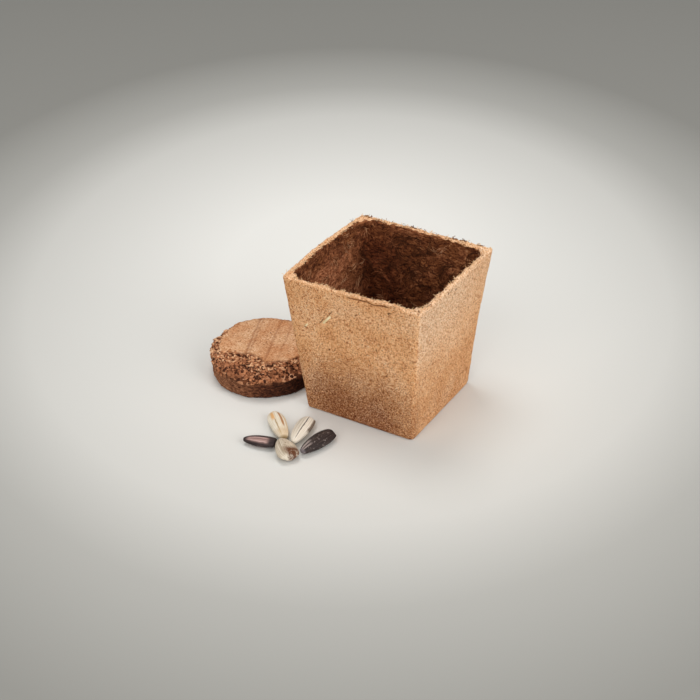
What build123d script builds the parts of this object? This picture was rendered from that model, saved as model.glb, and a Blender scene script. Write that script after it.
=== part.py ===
from build123d import *
import os
from math import cos, hypot, radians, sin
from typing import NamedTuple

# A peat pot set: a square tapered pot of pressed peat fibre, a pressed disc of dry growing
# medium beside it, and five sunflower seeds that lie in a fan. Millimetres, +Z up, the origin
# in the middle of the pot's underside, the pot's broad seen wall towards -Y.

# Pot, pressed in one piece
RIM_WIDTH = 61.4            # outside, across the mouth
BASE_WIDTH = 49.3           # outside, across the foot
POT_HEIGHT = 62.4
POT_WALL = 2.2              # measured level
POT_FLOOR = 2.6
RIM_CORNER = 2.6            # outside radius of the upright corners at the mouth
BASE_CORNER = 2.4           # the same at the foot
INNER_RIM_CORNER = 2.0      # inside radius of the upright corners at the mouth
INNER_FLOOR_CORNER = 1.8    # the same at the floor
FOOT_ROUND = 1.0            # round along the foot's edge
RIM_ROUND = 0.7             # rounds along both edges of the rim
FLOOR_ROUND = 1.4           # round where the inside meets the floor

# Disc of growing medium, pressed dry
DISC_DIAMETER = 45.0
DISC_THICKNESS = 12.7
DISC_TOP_EDGE = 1.0         # round along its top edge
DISC_FOOT_EDGE = 2.4        # round along its bottom edge
DISC_RIM_GAP = 1.05         # from the disc to the plumb line of the pot's rim
DISC_FORWARD = 9.9          # how far its axis lies in front of the pot's
BREAK_SETBACK = 8.0         # from the disc's axis to the top of its crumbled edge
BREAK_DEPTH = 3.6           # how far down the side the crumbled edge reaches
BREAK_HEADING = -72.0       # degrees, the way the crumbled edge faces
GROOVE_WIDTH = 0.9
GROOVE_DEPTH = 0.45
GROOVE_HEADING = 110.5      # degrees, along the press marks on the top face
GROOVE_PLACE_SHARES = (-0.30, 0.104, 0.34)    # of the radius, across the press marks
CUT_OVERRUN = 1.0           # how far cutting shapes run past what they cut

# Sunflower seeds, each a hull in two halves round a loose kernel
HULL_WALL = 0.5
KERNEL_GAP = 0.22
GREY_LENGTH = 12.5
GREY_WIDTH = 8.6
GREY_THICKNESS = 5.3
DARK_LEFT_LENGTH = 13.3
DARK_LEFT_WIDTH = 6.5
DARK_LEFT_THICKNESS = 4.0
PALE_LEFT_LENGTH = 18.6
PALE_LEFT_WIDTH = 7.1
PALE_LEFT_THICKNESS = 4.5
PALE_RIGHT_LENGTH = 17.2
PALE_RIGHT_WIDTH = 7.2
PALE_RIGHT_THICKNESS = 4.2
DARK_RIGHT_LENGTH = 17.6
DARK_RIGHT_WIDTH = 7.6
DARK_RIGHT_THICKNESS = 4.8

# A seed's form from its tip to its blunt end: where, as shares of the length, and how full, as
# shares of the half width and of the half thickness
SEED_PLACE_SHARES = (0.0, 0.05, 0.16, 0.35, 0.55, 0.72, 0.87, 0.96, 1.0)
SEED_FULL_SHARES = (0.22, 0.36, 0.55, 0.80, 0.96, 1.0, 0.88, 0.64, 0.34)

# The fan: the grey seed lies in the middle and the other four stand round it. A heading points
# from tip to blunt end, and a bearing from the grey seed's middle to a seed's near end, both in
# degrees from +X
FAN_LEFT = 14.0             # how far the grey seed's middle lies to the left of the pot's axis
FAN_RIM_GAP = 3.5           # from the furthest seed to the plumb line of the pot's rim
GREY_HEADING = -38.0
DARK_LEFT_HEADING = 18.5
DARK_LEFT_BEARING = 159.0
DARK_LEFT_GAP = 0.4         # from the grey seed to the near end of each seed
PALE_LEFT_HEADING = 136.6
PALE_LEFT_BEARING = 127.0
PALE_LEFT_GAP = 1.6
PALE_RIGHT_HEADING = 101.0
PALE_RIGHT_BEARING = 92.0
PALE_RIGHT_GAP = 0.85
DARK_RIGHT_HEADING = 79.3
DARK_RIGHT_BEARING = 14.3
DARK_RIGHT_GAP = 1.7


class Seed(NamedTuple):
    length: float
    width: float
    thickness: float
    heading: float
    middle_x: float         # from the grey seed's middle
    middle_y: float


def tapered_block(low_z, low_width, low_corner, high_z, high_width, high_corner):
    low = Plane.XY.offset(low_z) * RectangleRounded(low_width, low_width, low_corner)
    high = Plane.XY.offset(high_z) * RectangleRounded(high_width, high_width, high_corner)
    return loft([low, high], ruled=True)


def pot_width_at(z):
    return BASE_WIDTH + (RIM_WIDTH - BASE_WIDTH) * z / POT_HEIGHT


def make_pot():
    body = tapered_block(0, BASE_WIDTH, BASE_CORNER, POT_HEIGHT, RIM_WIDTH, RIM_CORNER)
    body = fillet(body.faces().sort_by(Axis.Z)[0].edges(), FOOT_ROUND)
    inside = tapered_block(
        POT_FLOOR, pot_width_at(POT_FLOOR) - 2 * POT_WALL, INNER_FLOOR_CORNER,
        POT_HEIGHT, RIM_WIDTH - 2 * POT_WALL, INNER_RIM_CORNER,
    )
    inside = fillet(inside.faces().sort_by(Axis.Z)[0].edges(), FLOOR_ROUND)
    pot = body - inside
    return fillet(pot.faces().sort_by(Axis.Z)[-1].edges(), RIM_ROUND)


def make_disc():
    radius = DISC_DIAMETER / 2
    disc = Cylinder(radius, DISC_THICKNESS, align=(Align.CENTER, Align.CENTER, Align.MIN))
    disc = fillet(disc.edges().filter_by(GeomType.CIRCLE).sort_by(Axis.Z)[0], DISC_FOOT_EDGE)
    disc = fillet(disc.edges().filter_by(GeomType.CIRCLE).sort_by(Axis.Z)[-1], DISC_TOP_EDGE)

    # the crumbled edge: a plane that starts on the top face and falls towards the side
    facing = Vector(cos(radians(BREAK_HEADING)), sin(radians(BREAK_HEADING)), 0)
    top_line = facing * BREAK_SETBACK + Vector(0, 0, DISC_THICKNESS)
    upright = Vector(0, 0, radius - BREAK_SETBACK)
    crumbled = Plane(origin=top_line, z_dir=facing * BREAK_DEPTH + upright)
    disc = split(disc, bisect_by=crumbled, keep=Keep.BOTTOM)

    groove = Box(DISC_DIAMETER + CUT_OVERRUN, GROOVE_WIDTH, 2 * GROOVE_DEPTH)
    for share in GROOVE_PLACE_SHARES:
        across = Rot(0, 0, GROOVE_HEADING) * Pos(0, -share * radius, 0)
        disc -= Pos(0, 0, DISC_THICKNESS) * across * groove
    return Pos(-(RIM_WIDTH / 2 + DISC_RIM_GAP + radius), -DISC_FORWARD, 0) * disc


def seed_form(length, width, thickness):
    sections = []
    for place, full in zip(SEED_PLACE_SHARES, SEED_FULL_SHARES):
        station = Plane(origin=((place - 0.5) * length, 0, 0), x_dir=(0, 1, 0), z_dir=(1, 0, 0))
        sections.append(station * Ellipse(full * width / 2, full * thickness / 2))
    return loft(sections)


def seed_pieces(seed):
    outer = seed_form(seed.length, seed.width, seed.thickness)
    walls = 2 * HULL_WALL
    shell = outer - seed_form(seed.length - walls, seed.width - walls, seed.thickness - walls)
    spare = walls + 2 * KERNEL_GAP
    return {
        "upper_hull": split(shell, bisect_by=Plane.XY, keep=Keep.TOP),
        "lower_hull": split(shell, bisect_by=Plane.XY, keep=Keep.BOTTOM),
        "kernel": seed_form(seed.length - spare, seed.width - spare, seed.thickness - spare),
    }


def beside_grey_seed(length, width, thickness, heading, bearing, gap, near_end):
    # the grey seed's reach towards the bearing, then the gap, then half of this seed
    turn = radians(bearing - GREY_HEADING)
    reach = 1 / hypot(cos(turn) / (GREY_LENGTH / 2), sin(turn) / (GREY_WIDTH / 2))
    to_middle = length / 2 if near_end == "tip" else -length / 2
    middle_x = (reach + gap) * cos(radians(bearing)) + to_middle * cos(radians(heading))
    middle_y = (reach + gap) * sin(radians(bearing)) + to_middle * sin(radians(heading))
    return Seed(length, width, thickness, heading, middle_x, middle_y)


def make_seeds():
    seeds = {
        "grey_seed": Seed(GREY_LENGTH, GREY_WIDTH, GREY_THICKNESS, GREY_HEADING, 0, 0),
        "dark_seed_left": beside_grey_seed(
            DARK_LEFT_LENGTH, DARK_LEFT_WIDTH, DARK_LEFT_THICKNESS,
            DARK_LEFT_HEADING, DARK_LEFT_BEARING, DARK_LEFT_GAP, "blunt end",
        ),
        "pale_seed_left": beside_grey_seed(
            PALE_LEFT_LENGTH, PALE_LEFT_WIDTH, PALE_LEFT_THICKNESS,
            PALE_LEFT_HEADING, PALE_LEFT_BEARING, PALE_LEFT_GAP, "tip",
        ),
        "pale_seed_right": beside_grey_seed(
            PALE_RIGHT_LENGTH, PALE_RIGHT_WIDTH, PALE_RIGHT_THICKNESS,
            PALE_RIGHT_HEADING, PALE_RIGHT_BEARING, PALE_RIGHT_GAP, "tip",
        ),
        "dark_seed_right": beside_grey_seed(
            DARK_RIGHT_LENGTH, DARK_RIGHT_WIDTH, DARK_RIGHT_THICKNESS,
            DARK_RIGHT_HEADING, DARK_RIGHT_BEARING, DARK_RIGHT_GAP, "tip",
        ),
    }
    # the whole fan stands in front of the rim, so that each seed can be picked straight up
    fan_depth = max(s.middle_y + s.length / 2 * abs(sin(radians(s.heading))) for s in seeds.values())
    fan_y = -(RIM_WIDTH / 2 + FAN_RIM_GAP + fan_depth)
    pieces = {}
    for name, seed in seeds.items():
        lie = Pos(seed.middle_x - FAN_LEFT, seed.middle_y + fan_y, seed.thickness / 2)
        for piece_name, piece in seed_pieces(seed).items():
            pieces[f"{name}_{piece_name}"] = lie * Rot(0, 0, seed.heading) * piece
    return pieces


nodes = {"pot": make_pot(), "soil_disc": make_disc(), **make_seeds()}
os.makedirs("parts", exist_ok=True)
for node, shape in nodes.items():
    export_step(shape, f"parts/{node}.step")
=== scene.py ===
import math
import random

import bmesh
import bpy
from mathutils import Matrix, Vector, noise
from mathutils.bvhtree import BVHTree


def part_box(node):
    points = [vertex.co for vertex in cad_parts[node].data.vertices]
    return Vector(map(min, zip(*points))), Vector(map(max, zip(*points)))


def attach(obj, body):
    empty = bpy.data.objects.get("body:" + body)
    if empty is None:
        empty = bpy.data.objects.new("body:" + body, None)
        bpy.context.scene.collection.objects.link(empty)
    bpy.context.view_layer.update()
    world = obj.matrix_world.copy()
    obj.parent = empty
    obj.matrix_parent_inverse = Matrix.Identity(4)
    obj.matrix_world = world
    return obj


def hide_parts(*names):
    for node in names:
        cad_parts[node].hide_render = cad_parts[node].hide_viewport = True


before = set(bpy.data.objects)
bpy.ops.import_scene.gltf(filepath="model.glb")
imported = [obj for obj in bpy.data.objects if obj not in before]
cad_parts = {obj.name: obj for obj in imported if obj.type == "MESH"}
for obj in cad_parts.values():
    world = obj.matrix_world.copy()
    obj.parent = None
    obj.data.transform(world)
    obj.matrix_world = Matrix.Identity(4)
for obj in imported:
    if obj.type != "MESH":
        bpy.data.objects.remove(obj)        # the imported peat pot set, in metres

mm = 0.001
upward = Vector((0, 0, 1))
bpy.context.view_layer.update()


# small tools

def toLinear(hexColour):
    channels = [int(hexColour[i:i + 2], 16) / 255 for i in (1, 3, 5)]
    return tuple(c / 12.92 if c <= 0.04045 else ((c + 0.055) / 1.055) ** 2.4 for c in channels) + (1.0,)


def patternScale(sizeMm):
    return 1 / (sizeMm * mm)


def addNode(tree, kind, inputs=None, ramp=None, **settings):
    # an input takes a plain value, a socket to link, or a node whose first output is linked
    node = tree.nodes.new("ShaderNode" + kind)
    for name, value in settings.items():
        setattr(node, name, value)
    for socket, value in (inputs or {}).items():
        if isinstance(value, bpy.types.Node):
            value = next(output for output in value.outputs if output.enabled)
        if isinstance(value, bpy.types.NodeSocket):
            tree.links.new(value, node.inputs[socket])
        else:
            node.inputs[socket].default_value = value
    if ramp:
        while len(node.color_ramp.elements) < len(ramp):
            node.color_ramp.elements.new(1.0)
        for element, (place, colour) in zip(node.color_ramp.elements, ramp):
            element.position = place
            element.color = toLinear(colour)
    return node


def newMaterial(name):
    material = bpy.data.materials.new(name)
    material.use_nodes = True
    material.node_tree.nodes.clear()
    return material, material.node_tree


def wave(point, sizeMm, seed):
    return noise.noise(point / (sizeMm * mm) + Vector((seed * 7.3, seed * 3.1, seed * 5.7)))


def ease(value, low, high):
    t = max(0.0, min(1.0, (value - low) / (high - low)))
    return t * t * (3 - 2 * t)


def modified(bm, kind, **settings):
    # the mesh after one modifier, as a new bmesh
    mesh = bpy.data.meshes.new("blank")
    bm.to_mesh(mesh)
    bm.free()
    carrier = bpy.data.objects.new("blank", mesh)
    bpy.context.scene.collection.objects.link(carrier)
    modifier = carrier.modifiers.new("step", kind)
    for name, value in settings.items():
        setattr(modifier, name, value)
    made = bpy.data.meshes.new_from_object(carrier.evaluated_get(bpy.context.evaluated_depsgraph_get()))
    bpy.data.objects.remove(carrier)
    bm = bmesh.new()
    bm.from_mesh(made)
    return bm


def evenSkin(bm, voxel):
    # an even skin of small squares over the modelled blank, ready to be sculpted
    bm = modified(bm, "REMESH", mode="VOXEL", voxel_size=voxel)
    bmesh.ops.smooth_vert(bm, verts=bm.verts, factor=0.5, use_axis_x=True, use_axis_y=True, use_axis_z=True)
    bm.normal_update()
    return bm


def finishPiece(name, bm, material, body, nodes=()):
    mesh = bpy.data.meshes.new(name)
    for face in bm.faces:
        face.smooth = True
    bm.to_mesh(mesh)
    bm.free()
    mesh.materials.append(material)
    piece = bpy.data.objects.new(name, mesh)
    bpy.context.scene.collection.objects.link(piece)
    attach(piece, body)
    if nodes:
        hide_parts(*nodes)
    print(name, len(mesh.polygons), "faces")


def fibreMesh(paths, thickness):
    # thin strands along the given paths, thinning to both ends
    curve = bpy.data.curves.new("fibres", "CURVE")
    curve.dimensions = "3D"
    curve.bevel_depth = thickness / 2
    curve.bevel_resolution = 0
    curve.use_fill_caps = True
    for path in paths:
        spline = curve.splines.new("POLY")
        spline.points.add(len(path) - 1)
        for i, (point, co) in enumerate(zip(spline.points, path)):
            point.co = (*co, 1)
            point.radius = 0.35 + 0.65 * math.sin(math.pi * (i + 0.5) / len(path))
    carrier = bpy.data.objects.new("fibres", curve)
    mesh = bpy.data.meshes.new_from_object(carrier)
    bpy.data.objects.remove(carrier)
    bm = bmesh.new()
    bm.from_mesh(mesh)
    return bm


def layFibre(surface, start, heading, length, curl, lift, ceiling):
    # walks over a surface, turning a little at each step; stops at the ceiling or where the wall turns over
    steps = 3 if length < 3 * mm else 7
    step = length / steps
    point, normal, _, _ = surface.find_nearest(start)
    path = [point + normal * lift]
    for _ in range(steps):
        heading = Matrix.Rotation(curl * step, 3, normal) @ heading
        heading = (heading - normal * heading.dot(normal)).normalized()
        before = normal
        point, normal, _, _ = surface.find_nearest(point + heading * step)
        if point.z > ceiling or normal.dot(before) < -0.3:
            break
        path.append(point + normal * lift)
    return path


# a chip's length, width and thickness, as shares of its size
chipShape = ((1.0, 1.9), (0.5, 0.9), (0.22, 0.42))


def addChip(bm, dice, spot, normal, size, jitter):
    # one flat chip, lying on a surface and turned at random
    turn = Matrix.Rotation(dice.uniform(0, 2 * math.pi), 4, "Z") @ Matrix.Rotation(dice.gauss(0, 0.5), 4, "X")
    shape = Matrix.Diagonal([size * dice.uniform(*span) for span in chipShape] + [1])
    lay = Matrix.Translation(spot) @ normal.to_track_quat("Z", "Y").to_matrix().to_4x4()
    chip = bmesh.ops.create_icosphere(bm, subdivisions=1, radius=1.0, matrix=lay @ turn @ shape)
    for v in chip["verts"]:
        v.co += Vector((dice.gauss(0, 1), dice.gauss(0, 1), dice.gauss(0, 1))) * jitter * size


# camera, fitted to the pot's corners in the photograph

view = {
    "azimuth": 31.37,
    "elevation": 32.02,
    "roll": -0.82,
    "target": Vector((-2.63, -26.17, 35.0)) * mm,
    "distance": 564.8 * mm,
    "focalPixels": 1450.5,
    "framePixels": 700,
    "sensor": 36.0,
}


def makeCamera():
    azimuth, elevation, roll = (math.radians(view[k]) for k in ("azimuth", "elevation", "roll"))
    back = Vector((math.sin(azimuth) * math.cos(elevation),
                   -math.cos(azimuth) * math.cos(elevation), math.sin(elevation)))
    right = (-back).cross(upward).normalized()
    up = right.cross(-back)
    right, up = right * math.cos(roll) + up * math.sin(roll), up * math.cos(roll) - right * math.sin(roll)
    data = bpy.data.cameras.new("camera")
    data.sensor_width = view["sensor"]
    data.lens = view["sensor"] * view["focalPixels"] / view["framePixels"]
    data.clip_start = 0.01
    camera = bpy.data.objects.new("camera", data)
    camera.matrix_world = Matrix.Translation(view["target"] + back * view["distance"]) @ Matrix(
        (right, up, back)).transposed().to_4x4()
    bpy.context.scene.collection.objects.link(camera)
    bpy.context.scene.camera = camera


makeCamera()
print("camera ready")


# pot: one pressing of peat and wood fibre

pot = {
    "height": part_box("pot")[1].z,
    "rimHalf": 30.7 * mm,
    "baseHalf": 24.65 * mm,
    "wall": 2.2 * mm,
    "floor": 2.6 * mm,
    "corner": 1.8 * mm,
    "footRound": 0.7 * mm,
    "rimRound": 0.7 * mm,
    "voxel": 0.58 * mm,
    "leftWallBow": 1.4 * mm,       # the left wall bellies out at the mouth
    "rightEdgeDip": 0.8 * mm,      # the far right corner draws in half way up
    "nearCornerDrop": 0.3 * mm,    # the rim is worn lower at the near corner
    "cornerWebs": (                # the lip is filled across inside its corners: near, left, back, right
        (Vector((1, -1, 0)).normalized(), 1.7 * mm),
        (Vector((-1, -1, 0)).normalized(), 1.9 * mm),
        (Vector((-1, 1, 0)).normalized(), 2.9 * mm),
        (Vector((1, 1, 0)).normalized(), 2.2 * mm),
    ),
    "lipRise": 0.5 * mm,           # the front lip stands up towards the near corner
    "lipDepth": 1.25 * mm,         # below the rim, where the front lip has split
    "lipFrom": -6 * mm,
    "lipTo": 21 * mm,
}


def potHalfAt(z):
    return pot["baseHalf"] + (pot["rimHalf"] - pot["baseHalf"]) * z / pot["height"]


def potBlank():
    bm = bmesh.new()
    size = 2 * pot["baseHalf"]
    bmesh.ops.create_cube(bm, size=size)
    bmesh.ops.scale(bm, vec=(1, 1, pot["height"] / size), verts=bm.verts)
    bmesh.ops.translate(bm, vec=(0, 0, pot["height"] / 2), verts=bm.verts)
    flare = pot["rimHalf"] / pot["baseHalf"]
    bmesh.ops.scale(bm, vec=(flare, flare, 1), verts=[v for v in bm.verts if v.co.z > pot["floor"]])
    uprights = [e for e in bm.edges if abs(e.verts[0].co.z - e.verts[1].co.z) > pot["floor"]]
    bmesh.ops.bevel(bm, geom=uprights, offset=pot["corner"], offset_type="OFFSET", affect="EDGES",
                    segments=5, profile=0.5, material=-1)
    foot = [e for e in bm.edges if all(v.co.z < pot["floor"] for v in e.verts)]
    bmesh.ops.bevel(bm, geom=foot, offset=pot["footRound"], offset_type="OFFSET", affect="EDGES",
                    segments=3, profile=0.5, material=-1)
    # the inside: the mouth is inset by the wall and pushed down to the floor
    mouth = max(bm.faces, key=lambda f: f.calc_center_median().z)
    bmesh.ops.inset_region(bm, faces=[mouth], thickness=pot["wall"], use_even_offset=True)
    pushed = bmesh.ops.extrude_face_region(bm, geom=[mouth])["geom"]
    bmesh.ops.delete(bm, geom=[mouth], context="FACES_ONLY")
    pushed = [v for v in pushed if isinstance(v, bmesh.types.BMVert)]
    narrow = (potHalfAt(pot["floor"]) - pot["wall"]) / (pot["rimHalf"] - pot["wall"])
    bmesh.ops.scale(bm, vec=(narrow, narrow, 1), verts=pushed)
    bmesh.ops.translate(bm, vec=(0, 0, pot["floor"] - pot["height"]), verts=pushed)
    rim = [e for e in bm.edges if all(v.co.z > pot["height"] - mm / 100 for v in e.verts)
           and len({round(f.normal.z) for f in e.link_faces}) > 1]
    bmesh.ops.bevel(bm, geom=rim, offset=pot["rimRound"], offset_type="OFFSET", affect="EDGES",
                    segments=2, profile=0.5, material=-1)
    bmesh.ops.recalc_face_normals(bm, faces=bm.faces)
    return bm


def sculptPot(bm):
    height = pot["height"]
    lining = bm.verts.layers.float.new("lining")
    stain = bm.verts.layers.float.new("stain")
    paleAndLit = bm.verts.layers.float.new("paleAndLit")
    pale = bm.verts.layers.float.new("pale")
    splitShadow = bm.verts.layers.float.new("splitShadow")
    paintedShade = bm.verts.layers.float.new("paintedShade")
    for v in bm.verts:
        at = v.co.copy()
        half = potHalfAt(at.z)
        below = height - at.z
        depth = half - max(abs(at.x), abs(at.y))
        inside = ease(depth / pot["wall"], 0.55, 0.95) * ease(at.z, 1.2 * mm, 2.2 * mm)
        # a ragged tan band is left under the rim before the dark lining starts
        leftness = ease((-at.x - abs(at.y)) / half, -0.12, 0.04)
        backness = ease((at.y - abs(at.x)) / half, -0.12, 0.04)
        ragged = (0.6 * wave(at, 6, 14) + 1.1 * wave(at, 1.8, 15)) * (1 - 0.6 * leftness - 0.4 * backness)
        band = 0.5 - 0.6 * leftness - 0.7 * backness * (1 - ease(at.x, 4 * mm, 18 * mm)) + ragged
        v[lining] = inside * ease(below, band * mm, (band + 0.9) * mm)
        outside = 1 - inside
        # paler parts of the lining, partly painted light: the left wall below its rim, which faces the lamp,
        # and the right half of the back wall; towards the back left corner this fades as painted shade
        v[pale] = leftness * (0.08 + 0.62 * ease(below, 3 * mm, 14 * mm)) * ease(half - at.y, 5 * mm, 24 * mm)
        v[pale] += 0.45 * wave(at, 6, 16) + 0.35 * leftness * wave(at, 1.6, 39)
        v[pale] += 0.12 * backness * ease(at.x, -4 * mm, 22 * mm)
        # painted shade: the lining is darkened in the back left corner and low down, where shade falls in the
        # pot
        corner = backness * (1 - ease(at.x, -19 * mm, -mm)) + 0.5 * leftness * ease(at.y / half, 0.55, 0.9)
        shadeInside = corner * ease(below, 2 * mm, 12 * mm) + 0.35 * backness * ease(below, 12 * mm, 34 * mm)
        v[paintedShade] = min(1.0, shadeInside)
        # the foot has soaked up peat water, most of all in the middle of the front
        frontness = ease(-at.y / half, 0.75, 0.98)
        middle = 1 - ease(abs(at.x) / half, 0.40, 0.95)
        soaked = 0.24 + frontness * (0.39 + 0.58 * middle)
        v[stain] = soaked * ease(38 * mm - at.z, 0, 34 * mm) * (0.9 + 0.25 * wave(at, 9, 12))
        # the right wall is paler, most of all near the front and the rim, and so is the top of the rim:
        # painted light where they face the lamps, partly also a bleached colour
        rimTop = ease(v.normal.z, 0.3, 0.8) * ease(at.z, height - 2.5 * mm, height - 0.8 * mm)
        rightWall = outside * ease(v.normal.x, 0.6, 0.85) * ease(at.z / height, 0.25, 0.95)
        rightWall *= 1 - 0.5 * ease(at.y / half, -0.2, 0.95)
        v[paleAndLit] = max(rightWall, rimTop * (0.45 + 0.4 * ease(at.x / half, 0.80, 0.90)))
        # lumps of the felt: broad and faint outside, coarse inside
        move = outside * (0.14 * wave(at, 12, 1) + 0.10 * wave(at, 3.4, 2) + 0.10 * wave(at, 1.5, 3))
        move += inside * (0.30 * wave(at, 8, 4) + 0.50 * wave(at, 2.8, 5) + 0.25 * wave(at, 1.3, 6))
        if at.z < 0.4 * mm:
            move = min(0.0, move)
        v.co += v.normal * move * mm
        # the bends of the walls
        up = at.z / height
        leftSide = ease(-at.x / half, 0.2, 1.0) * (1 - min(1.0, (at.y / half) ** 2))
        v.co.x -= pot["leftWallBow"] * leftSide * up ** 2
        farRight = ease((at.x + at.y) / (2 * half), 0.55, 1.0) * math.sin(math.pi * up)
        v.co -= Vector((1, 1, 0)) * (0.7 * pot["rightEdgeDip"] * farRight)
        # the lip is thicker than the wall, most of all in its corners
        lip = inside * ease(at.z, height - 5 * mm, height - 1 * mm)
        cornered = ease((abs(at.x) + abs(at.y)) / (2 * half), 0.82, 0.95)
        near = ease((at.x - at.y) / (2 * half), 0.80, 1.0)
        thicker = 0.35 + 0.3 * leftness - 0.2 * backness + 0.8 * cornered
        v.co += Vector((-at.x, -at.y, 0)).normalized() * lip * thicker * mm
        for diagonal, depth in pot["cornerWebs"]:
            web = at.dot(diagonal) - math.sqrt(2) * (half - pot["wall"]) + depth
            v.co -= diagonal * lip * max(0.0, web)
        # the rim is uneven and frays
        top = ease(at.z, height - 2.6 * mm, height)
        frayed = 0.30 * wave(at, 9, 7) + 0.30 * wave(at, 2.6, 8) + 0.32 * wave(at, 1.2, 9)
        raised = ease(-at.y / half, 0.80, 0.92) * ease(at.x, 4 * mm, 16 * mm)
        v.co.z += top * (frayed * mm + pot["lipRise"] * raised - pot["nearCornerDrop"] * near)
        # the front lip has split from the wall below it
        front = ease(-at.y / half, 0.93, 0.99)
        along = ease(at.x, pot["lipFrom"], pot["lipFrom"] + 6 * mm) * ease(pot["lipTo"] - at.x, 0, 5 * mm)
        line = height - pot["lipDepth"] + 0.35 * mm * wave(at, 5, 10)
        splitAndShadow = front * along * math.exp(-((at.z - line) / (0.75 * mm)) ** 2)
        v.co.y += 0.9 * mm * splitAndShadow ** 2 * ease(wave(at, 3.5, 11), -0.7, 0.0)
        # the split also masks a painted shadow in the colour
        v[splitShadow] = splitAndShadow
    bm.normal_update()


def peatFibreMaterial():
    # peat and wood fibre, pressed wet in a mould and dried: a matt tan felt of short fibres, with dark
    # and straw coloured flecks, redder at the foot, and a dark coarse felt on the inside
    material, tree = newMaterial("pressedPeatFibre")
    place = addNode(tree, "TexCoord").outputs["Object"]
    patches = addNode(tree, "TexNoise", {"Vector": place, "Scale": patternScale(13), "Detail": 4.0})
    plain = addNode(tree, "ValToRGB", {"Fac": patches},
                    ramp=[(0.30, "#E9B582"), (0.50, "#F4C493"), (0.70, "#FAD2A8")])
    # painted light, partly a bleached colour: the right wall and rim tops are mixed towards pale tan
    paleAndLit = addNode(tree, "Attribute", attribute_name="paleAndLit")
    tan = addNode(tree, "Mix", {"Factor": paleAndLit.outputs["Fac"], "A": plain,
                                "B": toLinear("#FDE0C0")}, data_type="RGBA")
    # felt grain: fibre bundles of about 0.8 mm and single fibres of about 0.4 mm
    bundles = addNode(tree, "TexNoise", {"Vector": place, "Scale": patternScale(0.8), "Detail": 3.0,
                                         "Roughness": 0.6, "Distortion": 0.8})
    bundleShade = addNode(tree, "ValToRGB", {"Fac": bundles},
                          ramp=[(0.32, "#A66C4A"), (0.44, "#F0DCC8"), (0.56, "#FFFFFF")])
    single = addNode(tree, "TexNoise", {"Vector": place, "Scale": patternScale(0.4), "Detail": 3.0,
                                        "Roughness": 0.7, "Distortion": 0.6})
    singleShade = addNode(tree, "ValToRGB", {"Fac": single},
                          ramp=[(0.36, "#74402A"), (0.46, "#F0DECC"), (0.54, "#FFFFFF")])
    felt = addNode(tree, "Mix", {"Factor": 0.9, "A": tan, "B": bundleShade},
                   data_type="RGBA", blend_type="MULTIPLY")
    fine = addNode(tree, "Mix", {"Factor": 0.9, "A": felt, "B": singleShade},
                   data_type="RGBA", blend_type="MULTIPLY")
    # dark flecks of bark and pale flecks of straw
    flecks = addNode(tree, "TexNoise", {"Vector": place, "Scale": patternScale(1.2), "Detail": 2.0,
                                        "Distortion": 1.4, "W": 3.0}, noise_dimensions="4D")
    bark = addNode(tree, "ValToRGB", {"Fac": flecks}, ramp=[(0.65, "#000000"), (0.71, "#C0C0C0")])
    dark = addNode(tree, "Mix", {"Factor": bark, "A": fine,
                                 "B": toLinear("#6E3C1E")}, data_type="RGBA")
    strawSpots = addNode(tree, "TexNoise", {"Vector": place, "Scale": patternScale(1.3), "Detail": 2.0,
                                            "Distortion": 1.8, "W": 11.0}, noise_dimensions="4D")
    straw = addNode(tree, "ValToRGB", {"Fac": strawSpots}, ramp=[(0.63, "#000000"), (0.71, "#B0B0B0")])
    flecked = addNode(tree, "Mix", {"Factor": straw, "A": dark,
                                    "B": toLinear("#F4DBB6")}, data_type="RGBA")
    # the foot is darker where it has soaked
    stain = addNode(tree, "Attribute", attribute_name="stain")
    between = addNode(tree, "MapRange", {"Value": single, "From Min": 0.38, "From Max": 0.62,
                                         "To Min": 1.7, "To Max": 0.3})
    soaked = addNode(tree, "Math", {0: stain.outputs["Fac"], 1: between}, operation="MULTIPLY")
    foot = addNode(tree, "Mix", {"Factor": soaked, "A": flecked,
                                 "B": toLinear("#907268")}, data_type="RGBA", blend_type="MULTIPLY")
    # the lining, a coarse felt of brown fibres
    level = addNode(tree, "Mapping", {"Vector": place, "Scale": (0.6, 0.6, 1.7)})
    strands = addNode(tree, "TexNoise", {"Vector": level, "Scale": patternScale(2.4), "Detail": 6.0,
                                         "Roughness": 0.7, "Distortion": 1.6})
    brown = addNode(tree, "ValToRGB", {"Fac": strands},
                    ramp=[(0.32, "#2C1408"), (0.46, "#61331B"), (0.60, "#925934"), (0.76, "#C49165")])
    # a lighter copy of the lining, mixed in by pale: painted light on the left wall, real tone elsewhere
    paleAndLitLining = addNode(tree, "ValToRGB", {"Fac": strands},
                      ramp=[(0.32, "#52281A"), (0.46, "#AA6642"), (0.60, "#D69268"), (0.76, "#F0C8A4")])
    pale = addNode(tree, "Attribute", attribute_name="pale")
    warm = addNode(tree, "Mix", {"Factor": pale.outputs["Fac"], "A": brown,
                                 "B": paleAndLitLining}, data_type="RGBA")
    liningShade = addNode(tree, "ValToRGB", {"Fac": bundles},
                          ramp=[(0.38, "#8C6C5C"), (0.50, "#FFFFFF")])
    specked = addNode(tree, "Mix", {"Factor": 0.9, "A": warm, "B": liningShade},
                      data_type="RGBA", blend_type="MULTIPLY")
    # painted shade in the back left corner and low on the back wall
    paintedShade = addNode(tree, "Attribute", attribute_name="paintedShade")
    shadeInside = addNode(tree, "Mix", {"Factor": paintedShade.outputs["Fac"], "A": specked,
                                  "B": toLinear("#D2BEBA")}, data_type="RGBA", blend_type="MULTIPLY")
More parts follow.
